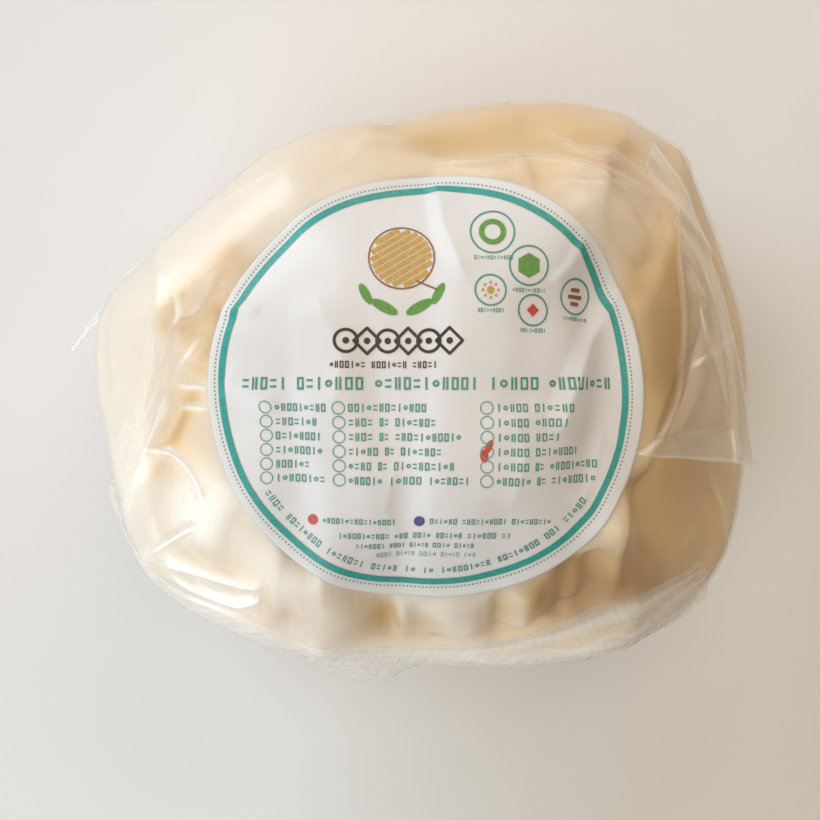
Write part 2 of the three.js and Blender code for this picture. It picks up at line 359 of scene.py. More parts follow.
def nearest_on(points, knots):
    """The distance from points to a line through knots, the share of the line that lies before, and the cross
    product of the line's run with the way off it."""
    nearest = np.full(len(points), np.inf)
    place = np.zeros(len(points))
    crossed = np.zeros((len(points), 3))
    steps = len(knots) - 1
    for i in range(steps):
        run = knots[i + 1] - knots[i]
        t = np.clip((points - knots[i]) @ run / (run @ run), 0, 1)
        off = points - knots[i] - t[:, None] * run
        distance = np.linalg.norm(off, axis=1)
        closer = distance < nearest
        nearest[closer] = distance[closer]
        place[closer] = ((i + t) / steps)[closer]
        crossed[closer] = np.cross(run, off)[closer]
    return nearest, place, crossed


def near(points, spots, reach):
    """1 on a line through turns and leans, and down to 0 within a few reaches, at points of the plain ball."""
    distance, _, _ = nearest_on(points, on_ball(spots))
    return fading(distance, reach)


def creased(points, normals, lines):
    """The height of a set of folds at each point, and how white they are there, as haze and painted highlights.
    """
    height, milk = np.zeros((2, len(points)))
    for knots, rise, right, left, milky in lines:
        nearest, place, crossed = nearest_on(points, knots)
        width = np.where(np.einsum("ij,ij->i", crossed, normals) > 0, left, right)
        taper = tapered(place, CREASE_TAPER)
        height += rise * taper * np.clip(1 - nearest / (CREASE_FOOT * width), 0, 1) ** CREASE_POWER
        milk = np.maximum(milk, milky * taper * fading(nearest, width))
    return height, milk


def shaped(points):
    """How much the hollows and swellings add at points of the plain ball."""
    return sum(rise * near(points, spots, reach) for spots, reach, rise in SHAPING)


def banded(points):
    """How hazy and how streaky the bands of drawn film are at points of the plain ball, and each point's place
    across and along its band."""
    haze, streaks, best = np.zeros((3, len(points)))
    drawn = np.zeros((len(points), 3))
    for order, (first, second, hazy, streaky) in enumerate(FILM_BANDS):
        first, second = on_ball(first), on_ball(second)
        to_first, place, _ = nearest_on(points, first)
        to_second, _, _ = nearest_on(points, second)
        widths = np.linalg.norm(second - first, axis=1)
        width = np.interp(place, np.linspace(0, 1, len(widths)), widths)
        length = np.linalg.norm(np.diff(first, axis=0), axis=1).sum()
        inside = 1 - ease((to_first + to_second - width) / width / BAND_EDGE)
        inside *= tapered(place, BAND_TAPER)
        haze = np.maximum(haze, hazy * inside)
        streaks = np.maximum(streaks, streaky * inside)
        top = inside > best
        best[top] = inside[top]
        across = (to_first - to_second) / 2 + BANDS_APART * order
        drawn[top] = np.stack([across, length * place, np.zeros(len(points))], axis=1)[top]
    return haze, streaks, drawn


def smooth_line(knots):
    """Points at even steps of a curve through the knots."""
    knots = np.array(knots, float)
    padded = np.vstack([2 * knots[0] - knots[1], knots, 2 * knots[-1] - knots[-2]])
    place = np.linspace(0, len(knots) - 1, LINE_STEPS)
    knot = np.minimum(place.astype(int), len(knots) - 2)
    return between(*(padded[knot + i] for i in range(4)), (place - knot)[:, None])


def coordinates(bm):
    bm.verts.ensure_lookup_table()
    return np.array([v.co for v in bm.verts])


def set_coordinates(bm, points):
    for v, point in zip(bm.verts, points):
        v.co = point


def piece_from(bm, name, material, slot=None, middle=BALL_MIDDLE):
    """Makes a piece of a mesh in millimetres round the ball's middle."""
    set_coordinates(bm, (coordinates(bm) + middle) * MM)
    mesh = bpy.data.meshes.new(name)
    for face in bm.faces:
        face.smooth = True
    bm.to_mesh(mesh)
    bm.free()
    mesh.materials.append(material)
    piece = bpy.data.objects.new(name, mesh)
    bpy.context.scene.collection.objects.link(piece)
    if slot:
        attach(piece, "root")
    return piece


def film_piece(bm, name, material, middle=BALL_MIDDLE, **attributes):
    """A piece of film, which light passes at full strength, as it nearly does in the real one."""
    piece = piece_from(bm, name, material, "bag", middle)
    piece.visible_shadow = False
    store(piece, **attributes)
    return piece


def thicken(piece, thickness, offset):
    """Gives a sheet its thickness, below it with an offset of -1 and to both sides with 0."""
    wall = piece.modifiers.new("thickness", "SOLIDIFY")
    wall.thickness = thickness * MM
    wall.offset = offset


def new_material(name):
    material = bpy.data.materials.new(name)
    material.use_nodes = True
    tree = material.node_tree
    return material, tree, tree.nodes["Principled BSDF"]


def feed(tree, socket, value):
    """Links an input to an output, or sets it to a constant."""
    if isinstance(value, bpy.types.NodeSocket):
        tree.links.new(value, socket)
    else:
        socket.default_value = value


def node(tree, kind, output, numbered=(), **values):
    """Adds a node and returns one of its outputs. Names with a capital are its inputs, and the others settings.
    Inputs that share a name come numbered."""
    made = tree.nodes.new("ShaderNode" + kind)
    for key, value in values.items():
        if key[0].isupper():
            feed(tree, made.inputs[key.replace("_", " ")], value)
        else:
            setattr(made, key, value)
    for number, value in dict(numbered).items():
        feed(tree, made.inputs[number], value)
    return made.outputs[output]


def attribute(tree, name, output="Fac"):
    return node(tree, "Attribute", output, attribute_name=name)


def noise(tree, scale, detail, roughness=0.5, place=None):
    """Unevenness, by the place in the piece if no other is given."""
    place = place or node(tree, "TexCoord", "Object")
    return node(tree, "TexNoise", "Fac", Vector=place, Scale=scale, Detail=detail, Roughness=roughness)


def drawn_out(tree, name, scale):
    """The place that an attribute gives, drawn out in one direction."""
    return node(tree, "Mapping", "Vector", Vector=attribute(tree, name, "Vector"), Scale=scale)


def maths(tree, operation, *values, use_clamp=False):
    return node(tree, "Math", "Value", enumerate(values), operation=operation, use_clamp=use_clamp)


def bumped(tree, height, strength, distance):
    return node(tree, "Bump", "Normal", Strength=strength, Distance=distance, Height=height)


def ramp(tree, value, *stops):
    """A colour by a value: each stop is a value and its colour, in rising order."""
    made = tree.nodes.new("ShaderNodeValToRGB")
    elements = made.color_ramp.elements
    for element, (place, colour) in zip(elements, (stops[0], stops[-1])):
        element.position = place
        element.color = (*colour, 1)
    for place, colour in stops[1:-1]:
        elements.new(place).color = (*colour, 1)
    feed(tree, made.inputs["Fac"], value)
    return made.outputs["Color"]


def mixed(tree, share, first, second):
    """Two shaders, and the second's share."""
    return node(tree, "MixShader", "Shader", {1: first, 2: second}, Fac=share)


def cheese_material():
    """Soft cheese that lets light in, with painted light and shade in its colour, and fibres along each ribbon.
    """
    material, tree, shader = new_material("string_cheese")
    shader.inputs["Roughness"].default_value = 0.42
    shader.inputs["Subsurface Weight"].default_value = 0.4
    shader.inputs["Subsurface Radius"].default_value = (0.006, 0.003, 0.0012)
    shader.inputs["Subsurface Scale"].default_value = 1.0
    stops = ((0, PALE_CHEESE), (PAINTED_SHADE_SHARE, SHADED_CHEESE), (1, DEEPLY_SHADED_CHEESE))
    shade_colour = ramp(tree, attribute(tree, "hollow"), *stops)
    blotches = noise(tree, 45, 3)
    tint = node(tree, "MapRange", "Result", Value=blotches, From_Min=0.3, From_Max=0.7, To_Min=0.78)
    blend = {"data_type": "RGBA", "blend_type": "MULTIPLY", "Factor": 0.35}
    feed(tree, shader.inputs["Base Color"], node(tree, "Mix", 2, {6: shade_colour, 7: tint}, **blend))
    strands = noise(tree, 1, 5, 0.6, drawn_out(tree, "lay", (0.9, 0.05, 1)))
    combed = maths(tree, "MULTIPLY", strands, attribute(tree, "fibre"))
    feed(tree, shader.inputs["Normal"], bumped(tree, combed, 0.3, 0.0004))
    return material


def film_material(name, shine, haze):
    """Clear film: mirror-like at a glancing angle, hazy where it is folded or drawn into streaks, and painted
    white as highlights on some folds. Shine and haze are those of plain film."""
    material, tree, shader = new_material(name)
    tree.nodes.remove(shader)
    milky = attribute(tree, "milk")
    lines = noise(tree, 1, 1.5, 0.5, drawn_out(tree, "drawn", (0.55, 0.03, 1)))
    sharp = node(tree, "MapRange", "Result", Value=lines, From_Min=0.46, From_Max=0.66)
    streak = maths(tree, "MULTIPLY", sharp, attribute(tree, "streaks"))
    relief = maths(tree, "MULTIPLY_ADD", streak, 0.35, noise(tree, 45, 2))
    normal = bumped(tree, relief, 0.3, 0.0008)

    clear = node(tree, "BsdfTransparent", "BSDF", Color=(*CLEAR_FILM, 1))
    white = node(tree, "BsdfDiffuse", "BSDF", Color=(*HAZE_AND_GLINT_WHITE, 1))
    glow = node(tree, "BsdfTranslucent", "BSDF", Color=(*HAZE_AND_GLINT_WHITE, 1))
    glossy = {"Color": (1, 1, 1, 1), "Normal": normal}
    mirror, sheen = (node(tree, "BsdfGlossy", "BSDF", Roughness=rough, **glossy) for rough in (0.14, 0.38))
    folds = maths(tree, "MULTIPLY_ADD", streak, 0.3, milky)
    milk = maths(tree, "MULTIPLY_ADD", folds, 0.8, haze, use_clamp=True)
    body = mixed(tree, milk, clear, mixed(tree, GLOW_SHARE, white, glow))
    glance = node(tree, "Fresnel", "Fac", IOR=1.5, Normal=normal)
    shone = maths(tree, "MULTIPLY_ADD", glance, shine, maths(tree, "MULTIPLY", milky, FOLD_SHINE))
    capped = maths(tree, "MINIMUM", shone, MOST_SHINE)
    skin = mixed(tree, capped, body, mixed(tree, SHEEN_SHARE, mirror, sheen))
    feed(tree, tree.nodes["Material Output"].inputs["Surface"], skin)
    return material


def paper_material():
    """Satin white paper, a little cloudy."""
    material, tree, shader = new_material("label_paper")
    shader.inputs["Roughness"].default_value = 0.42
    cloud = ramp(tree, noise(tree, 60, 2), (0.3, DULL_PAPER), (0.7, PALE_PAPER))
    feed(tree, shader.inputs["Base Color"], cloud)
    feed(tree, shader.inputs["Normal"], bumped(tree, noise(tree, 900, 4), 0.12, 0.0001))
    return material


def ink_material(name, colour):
    """Printing ink with the slight unevenness of a press."""
    material, tree, shader = new_material(name)
    shader.inputs["Roughness"].default_value = 0.4
    thin, full = ([min(1, strength * c) for c in colour] for strength in (0.88, 1.1))
    grain = ramp(tree, noise(tree, 1500, 2), (0.35, thin), (0.65, full))
    feed(tree, shader.inputs["Base Color"], grain)
    return material


def store(piece, **attributes):
    """Keeps numbers or vectors of a piece's vertices for its material."""
    for name, values in attributes.items():
        kind, field = ("FLOAT", "value") if values.ndim == 1 else ("FLOAT_VECTOR", "vector")
        piece.data.attributes.new(name, kind, "POINT").data.foreach_set(field, values.ravel())


def painted_shade_of(ball, gap):
    """The painted shade and light in the cheese's colour at points of the plain ball, by gap, side and place.
    """
    sides = [ease((ball @ np.array(side) - start) / over) for side, start, over in SHADED_SIDES]
    shaded_side = SHADE_YELLOWING * np.max(sides, axis=0) * ease((SHADED_SIDES_TOP - ball[:, 2]) / SHADED_SIDES_FADE)
    shade_tint = PAINTED_SHADE_SHARE * np.clip(np.clip(gap / SHADED_HOLLOW_DEPTH, 0, 1) + shaded_side, 0, 1)
    for spots, reach, change in PAINTED_LIGHT_AND_SHADE_PLACES:
        shade_tint += change * near(ball, spots, reach)
    return np.clip(shade_tint, 0, 1)


def above_table(points, gap):
    """Points round the ball's middle, with the low ones raised to a gap over the table."""
    points[:, 2] = np.maximum(points[:, 2], gap - BALL_MIDDLE[2])
    return points


def ball_and_film():
    """The ball of cheese and the film pulled tight on it. Returns the cheese, and a tree of the film's faces in
    millimetres round the ball's middle."""
    bm = bmesh.new()
    bmesh.ops.create_icosphere(bm, subdivisions=7, radius=1)
    film = bm.copy()
    directions = unit_directions(bm)
    cheese_radius, film_radius, lay, fibre = radii(bm, directions)
    shade_tint = painted_shade_of(plain_ball(directions), film_radius - cheese_radius - FILM_GAP)
    set_coordinates(bm, above_table(directions * cheese_radius[:, None], LEAST_GAP))
    cheese = piece_from(bm, "cheese", cheese_material(), "bag")
    # Attribute hollow: the painted shade of hollows and shaded sides, and painted light and shade at some
    # places.
    store(cheese, lay=lay, hollow=shade_tint, fibre=fibre)
    set_coordinates(film, directions * film_radius[:, None])
    return cheese, tight_film(film)


def tight_film(bm):
    """Adds the creases and bands to a mesh that has the film's radii. Returns a tree of its faces."""
    creases = [(on_ball(spots), *rest) for spots, *rest in FILM_CREASES]
    bmesh.ops.subdivide_edges(bm, edges=edges_near(bm, [c for c in creases if c[1]]), cuts=1)
    bmesh.ops.triangulate(bm, faces=[f for f in bm.faces if len(f.verts) > 3])
    directions = unit_directions(bm)
    ball = plain_ball(directions)
    rise, milk = creased(ball, directions, creases)
    haze, streaks, drawn = banded(ball)
    rise *= np.where(directions[:, 2] > 0, ease((off_axis(ball) - CREASE_START) / CREASE_FADE), 1)
    set_coordinates(bm, above_table(coordinates(bm) + directions * rise[:, None], 0))
    bm.normal_update()
    tree = BVHTree.FromBMesh(bm)
    clear = film_material("clear_film", *TIGHT_FILM)
    film_piece(bm, "film", clear, milk=np.maximum(milk, haze), streaks=streaks, drawn=drawn)
    return tree


def unit_directions(bm):
    """The unit direction of each vertex from the ball's middle."""
    points = coordinates(bm)
    return points / np.linalg.norm(points, axis=1)[:, None]


def off_axis(points):
    """How far points lie from the label's axis."""
    return np.linalg.norm(np.cross(points, LABEL_AXIS), axis=1)


def edges_near(bm, creases):
    """The edges of a ball whose middles, on the plain ball, lie within CREASE_REACH of a crease."""
    middles = np.array([e.verts[0].co + e.verts[1].co for e in bm.edges])
    points = plain_ball(middles / np.linalg.norm(middles, axis=1)[:, None])
    close = np.zeros(len(points), bool)
    for knots, *_ in creases:
        close |= nearest_on(points, knots)[0] < CREASE_REACH
    return [e for e, chosen in zip(bm.edges, close) if chosen]


def radii(bm, directions):
    """The cheese's and the film's radius at each vertex, its place in its ribbon, and how clear fibres are."""
    ball = plain_ball(directions)
    plain = np.linalg.norm(ball, axis=1)
    height, lay, fibre = winding(ball, RIBBON_EDGE)
    swell = lumps(ball) + shaped(ball)
    cheese = plain + height - MEAN_LEVEL + swell
    edges = np.array([[v.index for v in e.verts] for e in bm.edges])
    tight = pulled_tight(cheese + FILM_GAP, edges)
    taken = SIDE_FILL * fading(ball[:, 2], SIDE_REACH)
    for spots, reach, share in FILLINGS:
        taken = np.maximum(taken, share * near(ball, spots, reach))
    cheese += taken * (tight - FILM_GAP - cheese)
    evened, _, _ = winding(ball, PAPER_EDGE)
    paper = plain + PAPER_SHARE * (evened - MEAN_LEVEL) + swell + PAPER_RISE
    free = np.where(directions[:, 2] > 0, ease((off_axis(ball) - PRESSED_REACH) / PRESSED_FADE), 1)
    film = tight + (1 - free) * (paper - tight)
    return np.minimum(cheese, film - LEAST_GAP), film, lay, fibre


def film_at(film_tree, direction):
    """The tight film's point in a direction from the ball's middle, and its distance."""
    point, _, _, distance = film_tree.ray_cast(Vector((0, 0, 0)), Vector(direction))
    return point, distance


class LabelSurface:
    """Lays the flat label on the film: a distance from the label's middle is measured along the bag, which is
    evened out as stiff paper does."""

    TURNS = 240
    TILTS = 90
    STEP = 0.0125  # radians from one tilt to the next
    SMOOTHINGS = 6

    def __init__(self, film_tree):
        side = np.array([1, 0, 0]) - LABEL_AXIS[0] * LABEL_AXIS
        self.side = side / np.linalg.norm(side)
        self.other = np.cross(LABEL_AXIS, self.side)
        turns = np.arange(self.TURNS) * 2 * np.pi / self.TURNS
        outward = np.cos(turns)[:, None] * self.side + np.sin(turns)[:, None] * self.other
        tilts = (np.arange(self.TILTS) * self.STEP)[None, :, None]
        rays = np.cos(tilts) * LABEL_AXIS + np.sin(tilts) * outward[:, None, :]
        reach = np.array([[film_at(film_tree, ray)[1] for ray in row] for row in rays])
        for _ in range(self.SMOOTHINGS):
            reach = (np.roll(reach, 1, 0) + 2 * reach + np.roll(reach, -1, 0)) / 4
            reach[:, 1:-1] = (reach[:, :-2] + 2 * reach[:, 1:-1] + reach[:, 2:]) / 4
            reach[:, 0] = reach[:, 0].mean()
        self.lines = rays * reach[:, :, None]
        steps = np.linalg.norm(np.diff(self.lines, axis=1), axis=2)
        self.lengths = np.concatenate([np.zeros((self.TURNS, 1)), np.cumsum(steps, axis=1)], axis=1)

    def point(self, x, y, lift):
        """The point over a flat place of the label."""
        distance = math.hypot(x, y)
        place = math.atan2(y, x) / (2 * math.pi) % 1 * self.TURNS
        first = int(place) % self.TURNS
        share = place - int(place)
        found = []
        for turn in (first, (first + 1) % self.TURNS):
            lengths = self.lengths[turn]
            found.append([np.interp(distance, lengths, self.lines[turn, :, axis]) for axis in range(3)])
        base = (1 - share) * np.array(found[0]) + share * np.array(found[1])
        return base + lift * base / np.linalg.norm(base)

    def lay(self, bm, lift):
        """Moves a mesh from the flat label's millimetres on to the bag. Its z adds to the lift."""
        flat = coordinates(bm)
        up = np.tile((0, 0, 1), (len(flat), 1))
        folds = [(np.array([(*p, 0) for p in knots]), *sizes, 0) for knots, *sizes in PAPER_FOLDS]
        rise, _ = creased(flat * (1, 1, 0), up, folds)
        set_coordinates(bm, [self.point(x, y, lift + z + h) for (x, y, z), h in zip(flat, rise)])


def spun(bm, x, y, reaches, steps):
    """Spins a line round a middle. Reaches are how far its points lie from that."""
    line = [bm.verts.new((x + reach, y, 0)) for reach in reaches]
    edges = [bm.edges.new(pair) for pair in zip(line, line[1:])]
    bmesh.ops.spin(
        bm, geom=line + edges, cent=(x, y, 0), axis=(0, 0, 1), angle=2 * math.pi, steps=steps, use_merge=True
    )


def faces_up(bm):
    """Makes all faces of a flat mesh look up."""
    bmesh.ops.recalc_face_normals(bm, faces=bm.faces)
    bmesh.ops.reverse_faces(bm, faces=[f for f in bm.faces if f.normal.z < 0])


def label_sheet(surface):
    """The round paper: a ruled line spun into a disc."""
    bm = bmesh.new()
    spun(bm, 0, 0, [LABEL_RADIUS * i / PAPER_RINGS for i in range(PAPER_RINGS + 1)], PAPER_SIDES)
    bmesh.ops.remove_doubles(bm, verts=bm.verts, dist=1e-4)
    faces_up(bm)
    surface.lay(bm, PAPER_LIFT + PAPER_THICKNESS)
    bm.normal_update()
    sheet = piece_from(bm, "label_paper", paper_material(), "label")
    thicken(sheet, PAPER_THICKNESS, -1)
    return sheet


# The print, in the flat label's millimetres. Lines of words: the left end and the height over the label's
# middle, the signs' height, and the words' widths.
WORD_LINES = (
    (-34, 0.7, 2.3, (8.4, 12.6, 19, 9.6, 13.6)),
    (-19.4, -24.8, 1.1, (13.8,)),
    (0.4, -24.8, 1.1, (5.2, 8.4, 7.4)),
    (-16.4, -27.7, 1.15, (9.6, 2.6, 3.4, 5, 5.6, 2)),
    (-13.2, -29.8, 1, (5.6, 3, 3.6, 3.4, 3.8)),
)
PALE_LINE = (-9.4, -31.8, 1, (3, 3.6, 3.4, 3.6, 2.4))
DARK_LINE = (-17.6, 4.1, 1.25, (6.4, 6.6, 4.6))
# The line along the ring: its radius, its signs' height, the turn where it starts, and its words' widths.
ARC_LINE = (35.6, 1.35, 213, (4.8, 8.6, 7.8, 5.2, 2.3, 2.3, 9.8, 8.6, 3.4, 5.8))
# The list: each column's left end, and the words' widths of its rows.
COLUMNS = (
    (-29.8, ((10,), (8.2,), (9,), (9.2,), (6.6,), (9.6,))),
    (-16, ((14.2,), (4.6, 1.8, 7.4), (4.6, 1.8, 12), (5.6, 1.8, 7.4), (4.4, 1.8, 11), (6.4, 6, 7.6))),
    (10.6, ((6, 7.2), (6, 6.2), (6, 5), (6, 9), (6, 1.8, 10), (6.4, 1.8, 9.2))),
)
FIRST_ROW = -3.7
ROW_PITCH = -2.65
ROW_HEIGHT = 1.45
RING_RADIUS = 38.25
RING_WIDTH = 1.3
DOT_RADIUS = 39.6
DOTS = 330
EMBLEM = (-4.6, 24)
EMBLEM_RADIUS = 5.6
EMBLEM_LEAN = 32
BADGES = ((67, 31, 4), (50, 29, 3.6), (57, 21, 2.8), (36, 24, 2.8), (31, 33, 3.2))  # turn, distance, radius
PRINT_SHIFT = (-0.55, 0.3)  # the print isn't quite in the middle of the paper
MARK_ORDER = (0, 1, 4, 2, 3, 0, 2, 1, 4, 3, 0)  # the kinds of signs, as they follow one another
STROKE_SHARE = 0.17  # a sign's stroke, as a share of its height
BAR_CELL = 1.5  # wider blocks are divided, to follow the bag


def turned(x, y, right, up, turn):
    """The flat place to the right of another and above it, when both ways are turned by degrees."""
    a = math.radians(turn)
    return x + right * math.cos(a) - up * math.sin(a), y + right * math.sin(a) + up * math.cos(a)


def bar(bm, x, y, width, height, turn=0):
    """A small flat block of print."""
    cells = max(1, math.ceil(width / BAR_CELL))
    made = bmesh.ops.create_grid(bm, x_segments=cells, y_segments=1, size=0.5)["verts"]
    bmesh.ops.scale(bm, verts=made, vec=(width, height, 1))
    shape_at(bm, made, x, y, turn)


def shape_at(bm, verts, x, y, turn=0):
    """Moves a shape from the label's middle to a place, turned."""
    for v in verts:
        v.co = (*turned(x, y, v.co.x, v.co.y, turn), 0)


def disc(bm, x, y, radius, sides=20, turn=0, stretch=1):
    made = bmesh.ops.create_circle(bm, cap_ends=True, cap_tris=True, segments=sides, radius=radius)["verts"]
    bmesh.ops.scale(bm, verts=made, vec=(1, stretch, 1))
    shape_at(bm, made, x, y, turn)


def ring(bm, x, y, radius, width, steps=32, cells=1):
    """A flat ring: a short line spun round its middle."""
    spun(bm, x, y, [radius + width * (i / cells - 0.5) for i in range(cells + 1)], steps)


def mark(bm, x, y, width, height, kind, turn=0):
    """One small sign of print round a middle: strokes, dashes or rings that are no letters."""
    stroke = STROKE_SHARE * height

    def block(right, up, wide, high):
        bar(bm, *turned(x, y, right, up, turn), wide, high, turn)

    if kind == 0:
        for side in (-1, 1):
            block(side * (width - stroke) / 2, 0, stroke, height)
            block(0, side * (height - stroke) / 2, width, stroke)
    elif kind == 1:
        block(0, 0, stroke, height)
    elif kind == 2:
        for side in (-1, 1):
            block(0, side * height / 4, 0.9 * width, stroke)
    elif kind == 3:
        for side in (-1, 1):
            block(side * width / 4, 0, stroke, height)
    else:
        ring(bm, x, y, (min(width, height) - stroke) / 2, stroke, 14)


def lozenge(bm, x, y, reach, stroke):
    """An open lozenge of four strokes."""
    for turn in (45, 135, 225, 315):
        middle = turned(x, y, 0.5 * (reach - stroke) * math.sqrt(2), 0, turn)
        bar(bm, *middle, stroke, math.sqrt(2) * reach - stroke, turn)


def signs(length, height, share):
    """The signs of a word: each one's middle along it, its pitch, and its kind."""
    count = max(2, round(length / (share * height)))
    pitch = length / count
    for i in range(count):
        yield (i + 0.5) * pitch, pitch, MARK_ORDER[(i + round(3 * length)) % len(MARK_ORDER)]


def words(bm, x, y, height, lengths):
    """A line of print as rows of small signs, one row for each word. Lengths are the words' widths."""
    for length in lengths:
        for middle, pitch, kind in signs(length, height, 0.78):
            mark(bm, x + middle, y, 0.74 * pitch, height, kind)
        x += length + 0.7 * height


def arc_words(bm, radius, height, start, lengths):
    """The same along an arc inside the ring, read from the left round the bottom. Start is in degrees."""
    turn = start
    for length in lengths:
        for middle, pitch, kind in signs(length, height, 0.8):
            here = turn + math.degrees(middle / radius)
            mark(bm, *turned(0, 0, radius, 0, here), 0.72 * pitch, height, kind, here + 90)
        turn += math.degrees((length + 0.9 * height) / radius)


def badge_spot(number):
    """The middle of a badge."""
    turn, distance, _ = BADGES[number]
    return turned(0, 0, distance, 0, turn)


def print_ring(bm):
    """The ring inside the paper's edge."""
    ring(bm, 0, 0, RING_RADIUS, RING_WIDTH, 720, 4)


def print_dots(bm):
    """The circle of dots round the ring."""
    for i in range(DOTS):
        disc(bm, *turned(0, 0, DOT_RADIUS, 0, 360 * i / DOTS), 0.18, 6)


def print_lines(bm):
    """The lines of words, the list with its open circles, and the badges with a word under each."""
    for line in WORD_LINES:
        words(bm, *line)
    arc_words(bm, *ARC_LINE)
    for x, rows in COLUMNS:
        for row, lengths in enumerate(rows):
            y = FIRST_ROW + row * ROW_PITCH
            ring(bm, x, y, 1.12, 0.17, 24)
            words(bm, x + 1.6, y, ROW_HEIGHT, lengths)
    for number, (_, _, radius) in enumerate(BADGES):
        x, y = badge_spot(number)
        ring(bm, x, y, radius, 0.32, 40)
        words(bm, x - 0.9 * radius, y - radius - 0.9, 0.75, (1.8 * radius,))


def print_pale_lines(bm):
    words(bm, *PALE_LINE)


def print_dark(bm):
    """A row of open rings and lozenges in the place of honour, with a row of small words under it."""
    y = 8.4
    for i in range(6):
        x = -14.6 + 3.7 * i
        if i % 2:
            lozenge(bm, x, y, 2.9, 0.55)
        else:
            ring(bm, x, y, 2, 0.55)
        disc(bm, x, y, 0.6, 12)
    words(bm, *DARK_LINE)


def print_green(bm):
    """The leaves of the emblem, and the middles of the first two badges."""
    x, y = EMBLEM
    for side in (-1, 1):
        disc(bm, x + 3.2 * side, y - 9.4, 0.95, 20, -62 * side, 2.9)
        disc(bm, x + 6.6 * side, y - 7, 0.8, 20, -28 * side, 2.7)
    ring(bm, *badge_spot(0), 2, 1, 24)
    disc(bm, *badge_spot(1), 2.3, 6)


def print_ochre(bm):
    """The emblem, a ball of wound strands, and the spark of the third badge."""
    strands = 9
    pitch = 2 * EMBLEM_RADIUS / strands
    for i in range(strands):
        off = (i - (strands - 1) / 2) * pitch
        length = 2 * math.sqrt(EMBLEM_RADIUS**2 - off**2)
        bar(bm, *turned(*EMBLEM, 0, off, EMBLEM_LEAN), length, 0.8 * pitch, EMBLEM_LEAN)
    spark = badge_spot(2)
    disc(bm, *spark, 0.7, 16)
    for turn in range(0, 360, 45):
        disc(bm, *turned(*spark, 1.4, 0, turn), 0.28, 10)


def print_brown(bm):
    """The outline of the wound ball with its loose end, and the bars of the last badge."""
    ring(bm, *EMBLEM, EMBLEM_RADIUS + 0.45, 0.3, 40)
    bar(bm, EMBLEM[0] + 4.6, EMBLEM[1] - 5.4, 4.4, 0.3, -24)
    x, y = badge_spot(4)
    for i, width in enumerate((2, 3.2, 2)):
        bar(bm, x, y + (i - 1) * 1.25, width, 0.7)


def print_red(bm):
    """A smeared tick on the list, a dot in front of a line, and the middle of the fourth badge."""
    disc(bm, 10.9, -10.7, 0.6, 16, -24, 2.3)
    disc(bm, 10.1, -12.4, 0.75, 16, 10, 1.6)
    disc(bm, -21.2, -24.8, 1)
    disc(bm, *badge_spot(3), 1.2, 4)


def print_navy(bm):
    """A dot in front of a line."""
    disc(bm, -1.4, -24.8, 1)


# The inks: each one's name, its colour and the functions that draw its pieces, which have those names.
PRINT = (
    ("teal", (0.05, 0.36, 0.31), (print_ring,)),
    ("green", (0.09, 0.31, 0.25), (print_dots, print_lines)),
    ("pale_teal", (0.30, 0.50, 0.44), (print_pale_lines,)),
    ("dark", (0.045, 0.03, 0.02), (print_dark,)),
    ("leaf", (0.14, 0.33, 0.06), (print_green,)),
    ("ochre", (0.62, 0.36, 0.08), (print_ochre,)),
    ("brown", (0.30, 0.12, 0.04), (print_brown,)),
    ("red", (0.62, 0.07, 0.05), (print_red,)),
    ("navy", (0.05, 0.06, 0.22), (print_navy,)),
)


def print_on(surface):
    """Draws each piece of print flat and lays it on the label."""
    for name, colour, drawings in PRINT:
        ink = ink_material(name + "_ink", colour)
        for draw in drawings:
            bm = bmesh.new()
            draw(bm)
            faces_up(bm)
            bmesh.ops.translate(bm, verts=bm.verts, vec=(*PRINT_SHIFT, 0))
            surface.lay(bm, PAPER_LIFT + PAPER_THICKNESS + INK_LIFT)
            piece_from(bm, draw.__name__, ink, "label")


def kept_outside(points, out, film_tree):
    """Moves the points of a loose end that would lie within the tight film out of it."""
    middle = np.array([0, 0, BALL_MIDDLE[2]])
    centred = points - middle
    for i, least in enumerate(ease(out / ROOT_SHARE) * (ROOT_SINK + LOOSE_GAP) - ROOT_SINK):
        away = Vector(centred[i]).normalized()
        least += film_at(film_tree, away)[1]
        if np.linalg.norm(centred[i]) < least:
            centred[i] = least * np.array(away)
    return centred + middle


def loose_film(name, film_tree, root, rim, cells, shape, material):
    """A loose end of film: a grid from its root to its rim. Its shape is a function of its two places, along
    and out, that returns its lift, its haze with painted highlights, its streakiness, and how much of the way
    to the rim it reaches."""
    bm = bmesh.new()
    bmesh.ops.create_grid(bm, x_segments=cells[0], y_segments=cells[1], size=0.5)
    along, out, _ = coordinates(bm).T + 0.5
    roots = [film_at(film_tree, heading(*spot))[0] for spot in root]
    root_line = smooth_line([(p.x, p.y, p.z + BALL_MIDDLE[2] - ROOT_SINK) for p in roots])
    rim_line = smooth_line(rim)
    place = np.round(along * (LINE_STEPS - 1)).astype(int)
    lift, milk, streaks, reach = shape(along, out)
    points = root_line[place] + (out * reach)[:, None] * (rim_line[place] - root_line[place])
    points[:, 2] += lift
    set_coordinates(bm, kept_outside(points, out, film_tree))
    bm.normal_update()
    if sum(f.normal.z for f in bm.faces) < 0:
        bmesh.ops.reverse_faces(bm, faces=bm.faces)
    length = np.linalg.norm(np.diff(rim_line, axis=0), axis=1).sum()
    width = np.linalg.norm(rim_line - root_line, axis=1).mean()
    drawn = np.stack([length * along, width * out, np.zeros(len(along))], axis=1)
    middle = BALL_MIDDLE * (1, 1, 0)
    piece = film_piece(bm, name, material, middle, milk=milk, streaks=streaks, drawn=drawn)
    thicken(piece, FILM_THICKNESS, 0)


